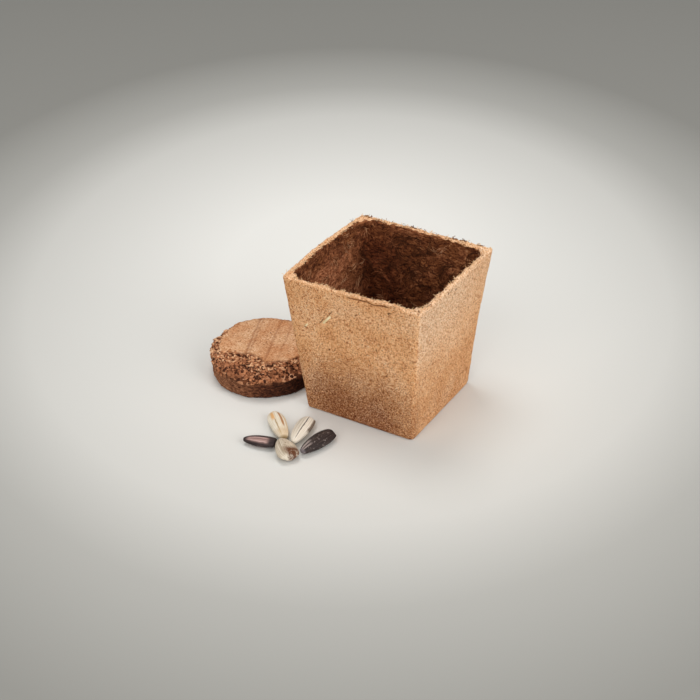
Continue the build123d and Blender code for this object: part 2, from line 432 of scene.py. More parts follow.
    # painted shadow: the thin dark line where the front lip has split stands in for the shade inside it
    splitShadow = addNode(tree, "Attribute", attribute_name="splitShadow")
    ragged = addNode(tree, "Math", {0: bundles, 1: 0.7, 2: splitShadow.outputs["Fac"]}, operation="MULTIPLY_ADD")
    splitShadowMask = addNode(tree, "MapRange", {"Value": ragged, "From Min": 1.12, "From Max": 1.30})
    splitAndShadow = addNode(tree, "Mix", {"Factor": splitShadowMask, "A": foot,
                                  "B": toLinear("#6E4024")}, data_type="RGBA")
    lining = addNode(tree, "Attribute", attribute_name="lining")
    edge = addNode(tree, "Math", {0: strands, 1: 0.8, 2: lining.outputs["Fac"]}, operation="MULTIPLY_ADD")
    mask = addNode(tree, "MapRange", {"Value": edge, "From Min": 0.80, "From Max": 1.05})
    colour = addNode(tree, "Mix", {"Factor": mask, "A": splitAndShadow,
                                   "B": shadeInside}, data_type="RGBA")
    felting = addNode(tree, "Math", {0: single, 1: 0.5, 2: bundles}, operation="MULTIPLY_ADD")
    height = addNode(tree, "Mix", {"Factor": mask, "A": felting,
                                   "B": strands})
    bump = addNode(tree, "Bump", {"Height": height, "Strength": 0.8, "Distance": 0.35 * mm})
    shader = addNode(tree, "BsdfPrincipled", {"Base Color": colour, "Roughness": 0.92, "IOR": 1.45,
                                              "Specular IOR Level": 0.15, "Normal": bump})
    addNode(tree, "OutputMaterial", {"Surface": shader})
    return material


potSkin = evenSkin(potBlank(), pot["voxel"])
sculptPot(potSkin)
potSurface = BVHTree.FromBMesh(potSkin)
finishPiece("pot_body", potSkin, peatFibreMaterial(), "pot", ["pot"])


# loose fibres of the pot: a coarse felt inside, short ones outside and a frayed rim

liningFibres = {
    "darkBrown": {"count": 800, "length": (5, 14), "thickness": 0.26, "walls": (0, 1, 1, 3),
                  "colour": ("#321709", "#5C311B")},
    "redBrown": {"count": 1100, "length": (4, 11), "thickness": 0.20, "walls": (0, 1, 2, 2, 3),
                 "colour": ("#683A1E", "#A06240")},
    "lightBrown": {"count": 650, "length": (2, 7), "thickness": 0.18, "walls": (0, 1, 2, 2, 2, 3),
                   "colour": ("#9C6844", "#D09C74")},
}
skinFibres = {
    "tan": {"count": 1400, "length": (0.6, 1.8), "thickness": 0.20, "from": 18, "to": 61.9,
            "colour": ("#DCAC7A", "#F2D2AC")},
    "bark": {"count": 1300, "length": (0.25, 0.7), "thickness": 0.26, "from": 1, "to": 61.9,
             "colour": ("#74441F", "#A86C3C")},
    "straw": {"count": 450, "length": (0.5, 1.6), "thickness": 0.22, "from": 24, "to": 61.9,
              "colour": ("#E6C99C", "#F6E4C4")},
    "grain": {"count": 2200, "length": (0.4, 1.1), "thickness": 0.24, "from": 1, "to": 32,
              "colour": ("#A87248", "#D6A274")},
    "rust": {"count": 1700, "length": (0.3, 0.9), "thickness": 0.20, "from": 1, "to": 61.9,
             "colour": ("#94582E", "#B87A4A")},
}
rimFibres = {
    "tan": {"count": 700, "length": (0.6, 1.7), "thickness": 0.22, "colour": ("#D6A573", "#F0D0A6")},
    "bark": {"count": 160, "length": (0.8, 2.0), "thickness": 0.18, "colour": ("#54301B", "#8A5832")},
}
rimTufts = {
    "spots": ((-28.0, 29.8), (-26.4, 29.6), (12.8, 30.4), (15.2, 30.6), (17.6, 30.4), (24.5, 30.2),
              (-5.0, 30.4)),
    "perSpot": 4,
    "length": (0.9, 1.9),
    "thickness": 0.30,
    "colour": ("#5A351E", "#8A5A36"),
}


def fibreMaterial(name, colours):
    # plant fibres and chips, dry and matt, each a little lighter or darker along its way
    material, tree = newMaterial(name)
    place = addNode(tree, "TexCoord").outputs["Object"]
    streak = addNode(tree, "TexNoise", {"Vector": place, "Scale": patternScale(2), "Detail": 3.0})
    colour = addNode(tree, "ValToRGB", {"Fac": streak}, ramp=[(0.36, colours[0]), (0.64, colours[1])])
    shader = addNode(tree, "BsdfPrincipled", {"Base Color": colour, "Roughness": 0.85, "IOR": 1.45,
                                              "Specular IOR Level": 0.15})
    addNode(tree, "OutputMaterial", {"Surface": shader})
    return material


def wallPoint(dice, inset, zLow, zHigh, walls=(0, 1, 2, 3)):
    # a random place on one of the walls (right, back, left, front), and the wall's outward direction
    z = dice.uniform(zLow, zHigh)
    half = potHalfAt(z) - inset
    turn = Matrix.Rotation(dice.choice(walls) * math.pi / 2, 3, "Z")
    return turn @ Vector((half, dice.uniform(-half, half), z)), turn @ Vector((1, 0, 0))


def randomFibre(dice, start, out, kind, turn, curl, lift, ceiling):
    level = upward.cross(out) if out.z < 0.9 else Vector((1, 0, 0))
    heading = level * math.cos(turn) + out.cross(level) * math.sin(turn)
    length = dice.uniform(*kind["length"]) * mm
    return layFibre(potSurface, start, heading, length, curl, lift, ceiling)


def addLiningFibres():
    dice = random.Random(11)
    floorHalf = potHalfAt(pot["floor"]) - pot["wall"]
    for name, kind in liningFibres.items():
        paths = []
        for i in range(kind["count"]):
            if i % 5 == 0:         # fibres lie in locks of five that curl the same way
                start, out = wallPoint(dice, pot["wall"] + 0.3 * mm, pot["floor"],
                                       pot["height"] - 2.2 * mm, kind["walls"])
                turn = dice.gauss(0, 0.6) + dice.choice((0, math.pi))
                curl = dice.uniform(-420, 420)
            if i % 30 < 5:         # one lock in six lies on the floor
                start = Vector((dice.uniform(-floorHalf, floorHalf),
                                dice.uniform(-floorHalf, floorHalf), pot["floor"]))
                out = upward
            slip = Vector((dice.gauss(0, 0.8), dice.gauss(0, 0.8), dice.gauss(0, 0.8))) * mm
            spot = start + slip - out * slip.dot(out)
            path = randomFibre(dice, spot, out, kind, turn + dice.gauss(0, 0.2), curl + dice.gauss(0, 60),
                               dice.uniform(0.0, 0.25) * mm, pot["height"] - 1.8 * mm)
            # only what lies inside the wall and above the floor
            path = [c for c in path if c.z > pot["floor"] / 2
                    and max(abs(c.x), abs(c.y)) < potHalfAt(c.z) - 0.3 * pot["wall"]]
            if len(path) > 1:
                paths.append(path)
        finishPiece("pot_lining_" + name, fibreMesh(paths, kind["thickness"] * mm),
                    fibreMaterial("liningFibre_" + name, kind["colour"]), "pot")


def addSkinFibres():
    dice = random.Random(12)
    for name, kind in skinFibres.items():
        paths = []
        for _ in range(kind["count"]):
            start, out = wallPoint(dice, -0.3 * mm, kind["from"] * mm, kind["to"] * mm)
            paths.append(randomFibre(dice, start, out, kind, dice.uniform(0, 2 * math.pi),
                                     dice.uniform(-250, 250), -0.03 * mm, pot["height"]))
        finishPiece("pot_skin_" + name, fibreMesh(paths, kind["thickness"] * mm),
                    fibreMaterial("skinFibre_" + name, kind["colour"]), "pot")


def standingFibre(dice, start, lean, length):
    # roots in the rim and bends a little on its way out
    root, normal, _, _ = potSurface.find_nearest(start)
    reach = lean.normalized() * length
    reach.z = min(reach.z, 0.8 * mm)
    bend = Vector((dice.gauss(0, 1), dice.gauss(0, 1), dice.gauss(0, 1))) * 0.1 * length
    return [root - normal * 0.2 * mm, root + reach * 0.4 + bend, root + reach]


def addRimFibres():
    dice = random.Random(13)
    for name, kind in rimFibres.items():
        paths = []
        for _ in range(kind["count"]):
            start, out = wallPoint(dice, dice.uniform(0.2, 1.0) * pot["wall"], pot["height"], pot["height"])
            lean = Vector((dice.gauss(0, 1), dice.gauss(0, 1), dice.gauss(0.25, 0.5))) - out * 0.5
            paths.append(standingFibre(dice, start + upward * mm, lean, dice.uniform(*kind["length"]) * mm))
        finishPiece("pot_rim_" + name, fibreMesh(paths, kind["thickness"] * mm),
                    fibreMaterial("rimFibre_" + name, kind["colour"]), "pot")
    # dark tufts on the back rim
    above = upward * (pot["height"] + mm)
    paths = []
    for x, y in rimTufts["spots"]:
        for _ in range(rimTufts["perSpot"]):
            start = Vector((x + dice.gauss(0, 0.7), y + dice.gauss(0, 0.3), 0)) * mm + above
            lean = Vector((dice.gauss(-0.6, 0.8), dice.gauss(0.2, 0.5), dice.gauss(0.15, 0.15)))
            paths.append(standingFibre(dice, start, lean, dice.uniform(*rimTufts["length"]) * mm))
    dark = fibreMaterial("rimFibre_tufts", rimTufts["colour"])
    finishPiece("pot_rim_tufts", fibreMesh(paths, rimTufts["thickness"] * mm), dark, "pot")
    bm = bmesh.new()
    for x, y in rimTufts["spots"]:
        for _ in range(rimTufts["perSpot"]):
            start = Vector((x + dice.gauss(0, 0.8), y + dice.gauss(0, 0.3), 0)) * mm + above
            point, normal, _, _ = potSurface.find_nearest(start)
            addChip(bm, dice, point, normal, 0.5 * mm, 0.15)
    finishPiece("pot_rim_clumps", bm, dark, "pot")


# single marks that the photograph shows on the front and right walls

wallMarks = {
    "frontDark": ((-11.2, 33.4), (-8.5, 34.0), (2.2, 53.8), (3.0, 54.2), (16.8, 59.0), (14.5, 29.1),
                  (15.1, 14.6), (-14.1, 11.4), (10.6, 40.3), (17.4, 59.4)),
    "rightDark": ((-8.2, 60.6), (-6.0, 61.2), (-2.0, 59.6)),
    "darkColour": ("#4A2814", "#6B3E20"),
    "straws": (((-12.7, 45.8), (-9.2, 50.0), 0.48), ((-21.2, 41.8), (-20.1, 43.2), 0.35)),
    "strawColour": ("#E9CF9C", "#F7E6C0"),
    "stems": (((-14.4, 45.4), (-12.4, 47.4)), ((-10.0, 50.2), (-8.0, 52.4)), ((-22.0, 41.6), (-20.8, 40.8))),
}


def frontPoint(x, z):
    # a place on the front wall, from millimetres across and up
    return Vector((x, -potHalfAt(z * mm) / mm, z)) * mm


def addWallMarks():
    dice = random.Random(14)
    spots = [frontPoint(x, z) for x, z in wallMarks["frontDark"]]
    spots += [Vector((potHalfAt(z * mm) / mm, y, z)) * mm for y, z in wallMarks["rightDark"]]
    bm = bmesh.new()
    for spot in spots:
        point, normal, _, _ = potSurface.find_nearest(spot)
        addChip(bm, dice, point, normal, 0.42 * mm, 0.15)
    dark = fibreMaterial("barkChip", wallMarks["darkColour"])
    finishPiece("pot_bark_chips", bm, dark, "pot")
    # straw: flat split stalks pressed into the wall, with dark stems beside them
    bm = bmesh.new()
    for (x0, z0), (x1, z1), width in wallMarks["straws"]:
        ends = [potSurface.find_nearest(frontPoint(x, z))[0] for x, z in ((x0, z0), (x1, z1))]
        along = ends[1] - ends[0]
        _, normal, _, _ = potSurface.find_nearest((ends[0] + ends[1]) / 2)
        axes = Matrix((along.normalized(), normal.cross(along).normalized(), normal)).transposed().to_4x4()
        shape = Matrix.Diagonal((along.length, 2 * width * mm, 0.4 * mm, 1))
        middle = Matrix.Translation((ends[0] + ends[1]) / 2 + normal * 0.1 * mm)
        stalk = bmesh.ops.create_cube(bm, size=1.0, matrix=middle @ axes @ shape)
        edges = list({e for v in stalk["verts"] for e in v.link_edges})
        bmesh.ops.bevel(bm, geom=edges, offset=0.15 * mm, offset_type="OFFSET", affect="EDGES", segments=2,
                        profile=0.5, material=-1)
    finishPiece("pot_straws", bm, fibreMaterial("splitStraw", wallMarks["strawColour"]), "pot")
    paths = []
    for (x0, z0), (x1, z1) in wallMarks["stems"]:
        start = frontPoint(x0, z0)
        run = Vector((x1 - x0, 0, z1 - z0)) * mm
        paths.append(layFibre(potSurface, start, run.normalized(), run.length, 60, 0.05 * mm, pot["height"]))
    finishPiece("pot_stems", fibreMesh(paths, 0.3 * mm), dark, "pot")


addLiningFibres()
addSkinFibres()
addRimFibres()
addWallMarks()
print("pot done")


# disc of growing medium, pressed dry, with a crumbled edge

discLow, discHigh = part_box("soil_disc")
disc = {
    "middle": Vector(((discLow.x + discHigh.x) / 2, (discLow.y + discHigh.y) / 2, 0)),
    "radius": (discHigh.x - discLow.x) / 2,
    "thickness": discHigh.z,
    "topEdge": 1.0 * mm,
    "footEdge": 1.6 * mm,
    "voxel": 0.40 * mm,
    "breakEdge": (                 # where the pressed face ends, in mm from the disc's axis
        (-23.0, -15.5), (-17.5, -13.8), (-13.9, -12.8), (-5.9, -9.4), (0.2, -8.4), (7.6, -9.4),
        (14.6, -5.4), (16.6, 0.1), (18.0, 5.0), (23.0, 9.0),
    ),
    "breakStep": 1.3 * mm,
    "breakSlope": 0.2,
    "leftWear": 3.2 * mm,          # the left rim has crumbled this far in
    "grooveHeading": 110.5,
    "grooves": (                   # place across the marks, as a share of the radius, and depth
        (-0.30, 0.50 * mm),
        (-0.24, 0.30 * mm),
        (0.104, 0.42 * mm),
        (0.34, 0.25 * mm),
    ),
}


def discBlank():
    bm = bmesh.new()
    bmesh.ops.create_circle(bm, cap_ends=True, segments=96, radius=disc["radius"])
    pulled = bmesh.ops.extrude_face_region(bm, geom=bm.faces[:])["geom"]
    pulled = [v for v in pulled if isinstance(v, bmesh.types.BMVert)]
    bmesh.ops.translate(bm, vec=(0, 0, disc["thickness"]), verts=pulled)
    bmesh.ops.recalc_face_normals(bm, faces=bm.faces)
    for z, size in ((0, disc["footEdge"]), (disc["thickness"], disc["topEdge"])):
        edge = [e for e in bm.edges if all(abs(v.co.z - z) < mm / 100 for v in e.verts)]
        bmesh.ops.bevel(bm, geom=edge, offset=size, offset_type="OFFSET", affect="EDGES",
                        segments=3, profile=0.5, material=-1)
    bmesh.ops.recalc_face_normals(bm, faces=bm.faces)
    return bm


def pastBreak(at):
    # how far a point lies in front of the edge of the pressed face
    edge = disc["breakEdge"]
    x = max(edge[0][0] * mm, min(edge[-1][0] * mm, at.x))
    for (x0, y0), (x1, y1) in zip(edge, edge[1:]):
        if x <= x1 * mm:
            return (y0 + (y1 - y0) * (x / mm - x0) / (x1 - x0)) * mm - at.y
    return -1.0


def sculptDisc(bm):
    crumb = bm.verts.layers.float.new("crumb")
    press = bm.verts.layers.float.new("press")
    groove = bm.verts.layers.float.new("groove")
    turn = math.radians(disc["grooveHeading"])
    tall = disc["thickness"]
    for v in bm.verts:
        at = v.co.copy()
        # the broken part is lower: a ragged step, then a slope down to the side
        leftShare = -(at.x + 0.55 * at.y) / disc["radius"]
        worn = math.hypot(at.x, at.y) - disc["radius"] + disc["leftWear"] * ease(leftShare, 0.55, 1.0)
        past = max(pastBreak(at), worn) + (0.9 * wave(at, 4, 18) + 0.7 * wave(at, 1.7, 17)) * mm
        step = ease(past, 0, 0.8 * mm)
        drop = disc["breakStep"] * step + disc["breakSlope"] * max(0.0, past)
        onTop = ease(at.z, tall - 1.1 * mm, tall - 0.6 * mm)
        reach = (2.0 + 2.6 * wave(at, 4, 20) - 2.5 * ease(at.x / disc["radius"], 0.25, 0.7)) * mm
        broken = step * max(onTop, ease(at.z, tall - reach - 4.0 * mm, tall - reach + 1.0 * mm))
        top = ease(at.z, tall - 0.5 * mm, tall - 0.1 * mm) * (1 - broken)
        # press marks run across the top
        across = -at.x * math.sin(turn) + at.y * math.cos(turn)
        wander = 0.6 * mm * wave(at, 9, 21)
        mark = 0.0
        for share, depth in disc["grooves"]:
            line = (across + share * disc["radius"] + wander) / (0.42 * mm)
            mark += depth / (0.5 * mm) * math.exp(-line * line) * (0.75 + 0.6 * wave(at, 7, 19))
        v[groove] = mark * top
        edge = ease(math.hypot(at.x, at.y), disc["radius"] - 3.5 * mm, disc["radius"] - 1.0 * mm)
        v[press] = top * (1 - edge * (0.30 + 0.5 * wave(at, 3, 38)))
        v[crumb] = broken
        move = top * (0.08 * wave(at, 5, 22) + 0.16 * wave(at, 1.4, 23))
        move += broken * (0.70 * wave(at, 3.2, 24) + 1.05 * wave(at, 1.9, 25) + 0.50 * wave(at, 1.0, 26))
        streaky = Vector((at.x, at.y, at.z * 3.0))
        side = (1 - broken) * (1 - top)
        layers = 0.25 * wave(at, 8, 27) + 0.28 * wave(streaky, 3.2, 28) + 0.24 * wave(streaky, 1.7, 29)
        move += side * layers
        if at.z < 0.5 * mm:
            move = min(0.0, move)
        v.co += v.normal * move * mm
        v.co.z -= 0.5 * mm * mark * top
        if at.z > disc["footEdge"]:
            v.co.z -= drop * (at.z - disc["footEdge"]) / (tall - disc["footEdge"])
        # the back left of the disc bulges a little
        lobe = 0.5 * ease(math.cos(math.atan2(at.y, at.x) - math.radians(150)), 0.4, 1.0)
        lobe += ease(at.z, 5 * mm, tall) * (0.45 * wave(at, 4, 36) + 0.40 * wave(at, 1.8, 37))
        v.co.x += at.x / disc["radius"] * lobe * mm
        v.co.y += at.y / disc["radius"] * lobe * mm
    bmesh.ops.translate(bm, vec=disc["middle"], verts=bm.verts)
    bm.normal_update()


def growingMediumMaterial():
    # peat and coir, pressed dry in a die: the pressed face is smooth and pale, the broken edge shows the
    # grains, and the side that slid along the die is dark and streaked, with painted light and shade on it
    material, tree = newMaterial("pressedGrowingMedium")
    place = addNode(tree, "TexCoord").outputs["Object"]
    grain = addNode(tree, "TexNoise", {"Vector": place, "Scale": patternScale(0.8), "Detail": 4.0,
                                       "Roughness": 0.65})
    face = addNode(tree, "ValToRGB", {"Fac": grain},
                   ramp=[(0.30, "#84502F"), (0.43, "#CF9B70"), (0.56, "#E4B68D"), (0.72, "#F8DEC2")])
    patches = addNode(tree, "TexNoise", {"Vector": place, "Scale": patternScale(9), "Detail": 3.0})
    tint = addNode(tree, "ValToRGB", {"Fac": patches}, ramp=[(0.35, "#EAD2BE"), (0.6, "#FFFFFF")])
    pressed = addNode(tree, "Mix", {"Factor": 1.0, "A": face, "B": tint},
                      data_type="RGBA", blend_type="MULTIPLY")
    pits = addNode(tree, "TexNoise", {"Vector": place, "Scale": patternScale(2.0), "Detail": 1.0, "W": 2.0},
                   noise_dimensions="4D")
    pit = addNode(tree, "MapRange", {"Value": pits, "From Min": 0.70, "From Max": 0.76})
    pitted = addNode(tree, "Mix", {"Factor": pit, "A": pressed,
                                   "B": toLinear("#7A4830")}, data_type="RGBA")
    groove = addNode(tree, "Attribute", attribute_name="groove")
    marked = addNode(tree, "Mix", {"Factor": groove.outputs["Fac"], "A": pitted,
                                   "B": toLinear("#97603F")}, data_type="RGBA")
    chunks = addNode(tree, "TexVoronoi", {"Vector": place, "Scale": patternScale(1.3), "Randomness": 1.0})
    crumbs = addNode(tree, "ValToRGB", {"Fac": chunks.outputs["Color"]},
                     ramp=[(0.20, "#3E2115"), (0.45, "#74462D"), (0.70, "#AA714E"), (0.92, "#DEA983")])
    flatten = addNode(tree, "Mapping", {"Vector": place, "Scale": (1.0, 1.0, 3.0)})
    streaks = addNode(tree, "TexNoise", {"Vector": flatten, "Scale": patternScale(1.8),
                                         "Detail": 6.0, "Roughness": 0.7, "Distortion": 0.8})
    shadedSide = addNode(tree, "ValToRGB", {"Fac": streaks},
                   ramp=[(0.34, "#1C0C06"), (0.47, "#432317"), (0.58, "#71432C"), (0.72, "#A06B48")])
    litSide = addNode(tree, "ValToRGB", {"Fac": streaks},
                  ramp=[(0.34, "#522C1C"), (0.47, "#925E40"), (0.58, "#BC8560"), (0.72, "#E2B48C")])
    # painted light: the side is paler towards the left, where a lamp falls on it
    parts = addNode(tree, "SeparateXYZ", {"Vector": place})
    leftward = addNode(tree, "MapRange", {"Value": parts.outputs["X"],
                                          "From Min": disc["middle"].x + disc["radius"] / 2,
                                          "From Max": disc["middle"].x - disc["radius"]})
    litAndShadedSide = addNode(tree, "Mix", {"Factor": leftward, "A": shadedSide,
                                  "B": litSide}, data_type="RGBA")
    # painted shade: the side is darkened towards the pot, where the pot shades it
    potShadeMask = addNode(tree, "MapRange", {"Value": parts.outputs["X"],
                                           "From Min": disc["middle"].x + disc["radius"] / 4,
                                           "From Max": disc["middle"].x + disc["radius"]})
    side = addNode(tree, "Mix", {"Factor": potShadeMask, "A": litAndShadedSide,
                                 "B": toLinear("#8C7C78")}, data_type="RGBA", blend_type="MULTIPLY")
    crumb = addNode(tree, "Attribute", attribute_name="crumb")
    press = addNode(tree, "Attribute", attribute_name="press")
    flat = addNode(tree, "Mix", {"Factor": press.outputs["Fac"], "A": side,
                                 "B": marked}, data_type="RGBA")
    colour = addNode(tree, "Mix", {"Factor": crumb.outputs["Fac"], "A": flat,
                                   "B": crumbs}, data_type="RGBA")
    bump = addNode(tree, "Bump", {"Height": grain, "Strength": 0.8, "Distance": 0.3 * mm})
    shader = addNode(tree, "BsdfPrincipled", {"Base Color": colour, "Roughness": 0.95, "IOR": 1.45,
                                              "Specular IOR Level": 0.15, "Normal": bump})
    addNode(tree, "OutputMaterial", {"Surface": shader})
    return material


crumbChips = {
    "light": {"count": 420, "size": (0.40, 0.95), "within": 6.0, "colour": ("#C88A5E", "#EEC096")},
    "brown": {"count": 470, "size": (0.40, 0.95), "within": 12.0, "colour": ("#8E5638", "#C4865E")},
    "dark": {"count": 230, "size": (0.35, 0.75), "within": 10.0, "colour": ("#3A2015", "#603A28")},
}


def addCrumbs(spots):
    # chips of bark and coir, half buried in the crumbled edge
    dice = random.Random(21)
    for name, kind in crumbChips.items():
        bm = bmesh.new()
        reached = [s for s in spots if pastBreak(s[0] - disc["middle"]) < kind["within"] * mm]
        for _ in range(kind["count"]):
            spot, normal = dice.choice(reached)
            lay = (normal + upward * 1.5).normalized()      # the chips were pressed flat, in layers
            addChip(bm, dice, spot + normal * 0.1 * mm, lay, dice.uniform(*kind["size"]) * mm, 0.13)
        finishPiece("disc_crumbs_" + name, bm, fibreMaterial("crumb_" + name, kind["colour"]),
                    "soil_disc")


discSkin = evenSkin(discBlank(), disc["voxel"])
sculptDisc(discSkin)
crumbLayer = discSkin.verts.layers.float["crumb"]
crumbSpots = [(v.co.copy(), v.normal.copy()) for v in discSkin.verts if v[crumbLayer] > 0.5]
finishPiece("soil_disc_body", discSkin, growingMediumMaterial(), "soil_disc", ["soil_disc"])
addCrumbs(crumbSpots)
print("disc done")


# sunflower seeds: each hull is two halves that meet along the narrow edges

seedForm = {
    "placeShares": (0.0, 0.05, 0.16, 0.35, 0.55, 0.72, 0.87, 0.96, 1.0),
    "fullShares": (0.22, 0.36, 0.55, 0.80, 0.96, 1.0, 0.88, 0.64, 0.34),
    "squareShares": (0.22, 0.36, 0.57, 0.84, 0.98, 1.0, 1.0, 0.94, 0.74),
    "broadShares": (0.34, 0.60, 0.80, 0.95, 1.0, 1.0, 0.90, 0.66, 0.36),
    "hullWall": 0.5 * mm,
    "segments": 16,
    "smoothing": 3,
}
# lines on a hull: place across, half width, from and to along, colour and strength
seeds = {
    "grey_seed": {
        "size": (12.5, 8.6, 5.3), "heading": -38.0, "middle": (-14.0, -56.792), "slot": "grey_hull",
        "facet": 0.15, "ridge": -0.1, "blunt": 0.4, "broad": 0.4, "rough": 0.14,
        "shades": ("#9C8C76", "#C6B8A3", "#DCD0BC"), "shine": 0.65,
        "lines": ((-0.5, 0.10, 0.1, 0.9, "#8B7760", 0.5), (0.0, 0.07, 0.1, 0.9, "#9A866D", 0.5),
                  (-0.3, 0.30, 0.5, 0.95, "#8E7458", 0.5), (0.0, 2.0, 0.90, 1.2, "#E6DCCB", 0.8)),
        "tip": "#A5947C", "end": "#5E3822", "endFrom": 0.56, "endSide": -0.50, "specks": ("#6B4A30", 0.62),
    },
    "dark_seed_left": {
        "size": (13.3, 6.5, 4.0), "heading": 18.5, "middle": (-26.256, -56.618), "slot": "dark_hull",
        "facet": 0.12, "ridge": -0.2, "blunt": 0.75, "broad": 0.1, "rough": 0.0,
        "shades": ("#1A1312", "#322625", "#51403C"), "shine": 0.60,
        "lines": ((-0.36, 0.52, 0.08, 0.84, "#A2827A", 0.9), (-0.62, 0.08, 0.05, 0.8, "#CDAEA6", 0.6),
                  (-0.08, 0.07, 0.1, 0.8, "#CDAEA6", 0.6), (-0.32, 0.07, 0.2, 0.9, "#5E443F", 0.7),
                  (0.45, 0.10, 0.1, 0.9, "#6E5753", 0.5)),
        "tip": "#241A1B", "end": "#171113", "endFrom": 0.86, "endSide": -2.0, "specks": ("#9A8482", 0.72),
    },
    "pale_seed_left": {
        "size": (18.6, 7.1, 4.5), "heading": 136.6, "middle": (-25.349, -44.309), "slot": "pale_hull",
        "facet": 0.25, "ridge": 0.1, "blunt": 0.1, "broad": 0.6, "rough": 0.0,
        "shades": ("#BEAE8C", "#DED3BE", "#EEE7DA"), "shine": 0.5,
        "lines": ((-0.45, 0.17, 0.30, 0.98, "#A87240", 0.95), (0.30, 0.09, 0.02, 0.70, "#A08052", 0.85),
                  (0.42, 0.26, 0.58, 1.0, "#D9A05C", 0.85), (-0.85, 0.10, 0.1, 0.9, "#C2A57C", 0.7),
                  (0.0, 1.4, -0.1, 0.34, "#C4A982", 0.6)),
        "tip": "#8A7350", "end": "#E2C08E", "endFrom": 0.86, "endSide": -2.0, "specks": ("#C8B08A", 0.70),
    },
    "pale_seed_right": {
        "size": (17.2, 7.2, 4.2), "heading": 101.0, "middle": (-15.84, -42.642), "slot": "pale_hull",
        "facet": 0.15, "ridge": -0.12, "blunt": 0.80, "broad": 0.15, "rough": 0.0,
        "shades": ("#C6BAA7", "#DFD6C6", "#ECE5D9"), "shine": 0.5,
        # the dark band along the right edge (-0.92) is painted shade on the flank turned from the light
        "lines": ((0.45, 0.60, 0.05, 1.1, "#DCD0BC", 0.5), (-0.16, 0.075, 0.02, 1.0, "#3A2E26", 1.0),
                  (-0.92, 0.20, 0.40, 1.1, "#5A483A", 0.9), (0.2, 0.05, 0.2, 0.9, "#AC9C85", 0.7),
                  (0.6, 0.05, 0.2, 0.9, "#AC9C85", 0.7)),
        "tip": "#D8CDBB", "end": "#C2B29A", "endFrom": 0.92, "endSide": -2.0, "specks": ("#B5A58C", 0.70),
    },
    "dark_seed_right": {
        "size": (17.6, 7.6, 4.8), "heading": 79.3, "middle": (-6.069, -46.54), "slot": "dark_hull",
        "facet": 0.06, "ridge": 0.0, "blunt": 0.60, "broad": 0.15, "rough": 0.0,
        "shades": ("#1A1413", "#322826", "#4B3F3B"), "shine": 0.62,
        "lines": ((0.3, 0.30, -0.1, 0.40, "#A89A94", 0.8), (-0.25, 0.20, -0.1, 0.34, "#988A84", 0.8),
                  (0.0, 0.10, 0.3, 0.9, "#52463F", 0.6)),
        "tip": "#6E6568", "end": "#120F11", "endFrom": 0.88, "endSide": -2.0, "specks": ("#8A7E78", 0.62),
    },
}


def fullnessAt(seed, share):
    # a blunt seed keeps its fullness to the end, a broad one starts with more of it at the tip
    places = seedForm["placeShares"]
    fulls = [f + seed["blunt"] * (s - f) + seed["broad"] * (b - f) for f, s, b in zip(
        seedForm["fullShares"], seedForm["squareShares"], seedForm["broadShares"])]
    for i in range(len(places) - 1):
        if share <= places[i + 1]:
            t = (share - places[i]) / (places[i + 1] - places[i])
            return fulls[i] + (fulls[i + 1] - fulls[i]) * t
    return fulls[-1]


def seedBlank(seed, length, width, thickness):
    # rings drawn from tip to blunt end, then smoothed by subdivision
    bm = bmesh.new()
    upright = Matrix.Rotation(math.pi / 2, 4, "Y")
    ring = bmesh.ops.create_circle(bm, cap_ends=True, segments=seedForm["segments"], radius=1.0,
                                   matrix=upright)["verts"]
    for i, place in enumerate(seedForm["placeShares"]):
        if i:
            edges = [e for e in bm.edges if all(v in ring for v in e.verts)]
            drawn = bmesh.ops.extrude_edge_only(bm, edges=edges)["geom"]
            ring = [v for v in drawn if isinstance(v, bmesh.types.BMVert)]
        full = fullnessAt(seed, place)
        for v in ring:
            around = math.atan2(v.co.z, v.co.y)
            v.co = Vector(((place - 0.5) * length, full * width / 2 * math.cos(around),
                           full * thickness / 2 * math.sin(around)))
    bmesh.ops.contextual_create(bm, geom=[e for e in bm.edges if all(v in ring for v in e.verts)])
    bmesh.ops.recalc_face_normals(bm, faces=bm.faces)
    bm = modified(bm, "SUBSURF", levels=seedForm["smoothing"], render_levels=seedForm["smoothing"])
    # subdivision draws the form in, so it is stretched back to its size
    reach = [max(abs(v.co[i]) for v in bm.verts) for i in range(3)]
    bmesh.ops.scale(bm, vec=[s / 2 / r for s, r in zip((length, width, thickness), reach)], verts=bm.verts)
    bm.normal_update()
    return bm


def sculptSeed(bm, seed, length, width, thickness):
    along = bm.verts.layers.float.new("along")
    across = bm.verts.layers.float.new("across")
    ridge = seed["ridge"]
    for v in bm.verts:
        share = v.co.x / length + 0.5
        full = fullnessAt(seed, share)
        side = max(-1.0, min(1.0, v.co.y / (full * width / 2)))
        v[along] = share
        v[across] = side
        if abs(v.co.z) < mm / 1000:      # the seam of the two halves stays where it is
            v.co.z = 0
            continue
        # two flats that meet in a ridge
        tent = 1 - (side - ridge) / (1 - ridge) if side > ridge else 1 - (ridge - side) / (1 + ridge)
        flat = math.copysign(full * thickness / 2 * max(0.0, tent), v.co.z)
        v.co.z += seed["facet"] * (flat - v.co.z) * ease(1 - share, 0.0, 0.12)
        # fine ribs along the hull, its uneven growth and a torn blunt end
        ribs = (math.sin(side * 26 + 2.0 * wave(v.co, 6, 31))
                * ease(share, 0.02, 0.2) * ease(1 - share, 0.0, 0.1))
        v.co.z += math.copysign(0.035 * mm, v.co.z) * ribs
        torn = seed["rough"] * ease(share, 0.72, 0.95) * (wave(v.co, 1.6, 34) + 0.6 * wave(v.co, 0.8, 35))
        v.co += v.normal * mm * (0.10 * wave(v.co, 3.5, 32) + 0.03 * wave(v.co, 1.0, 33) + torn)
        v.co.z = max(v.co.z, 0.02 * mm) if flat > 0 else min(v.co.z, -0.02 * mm)


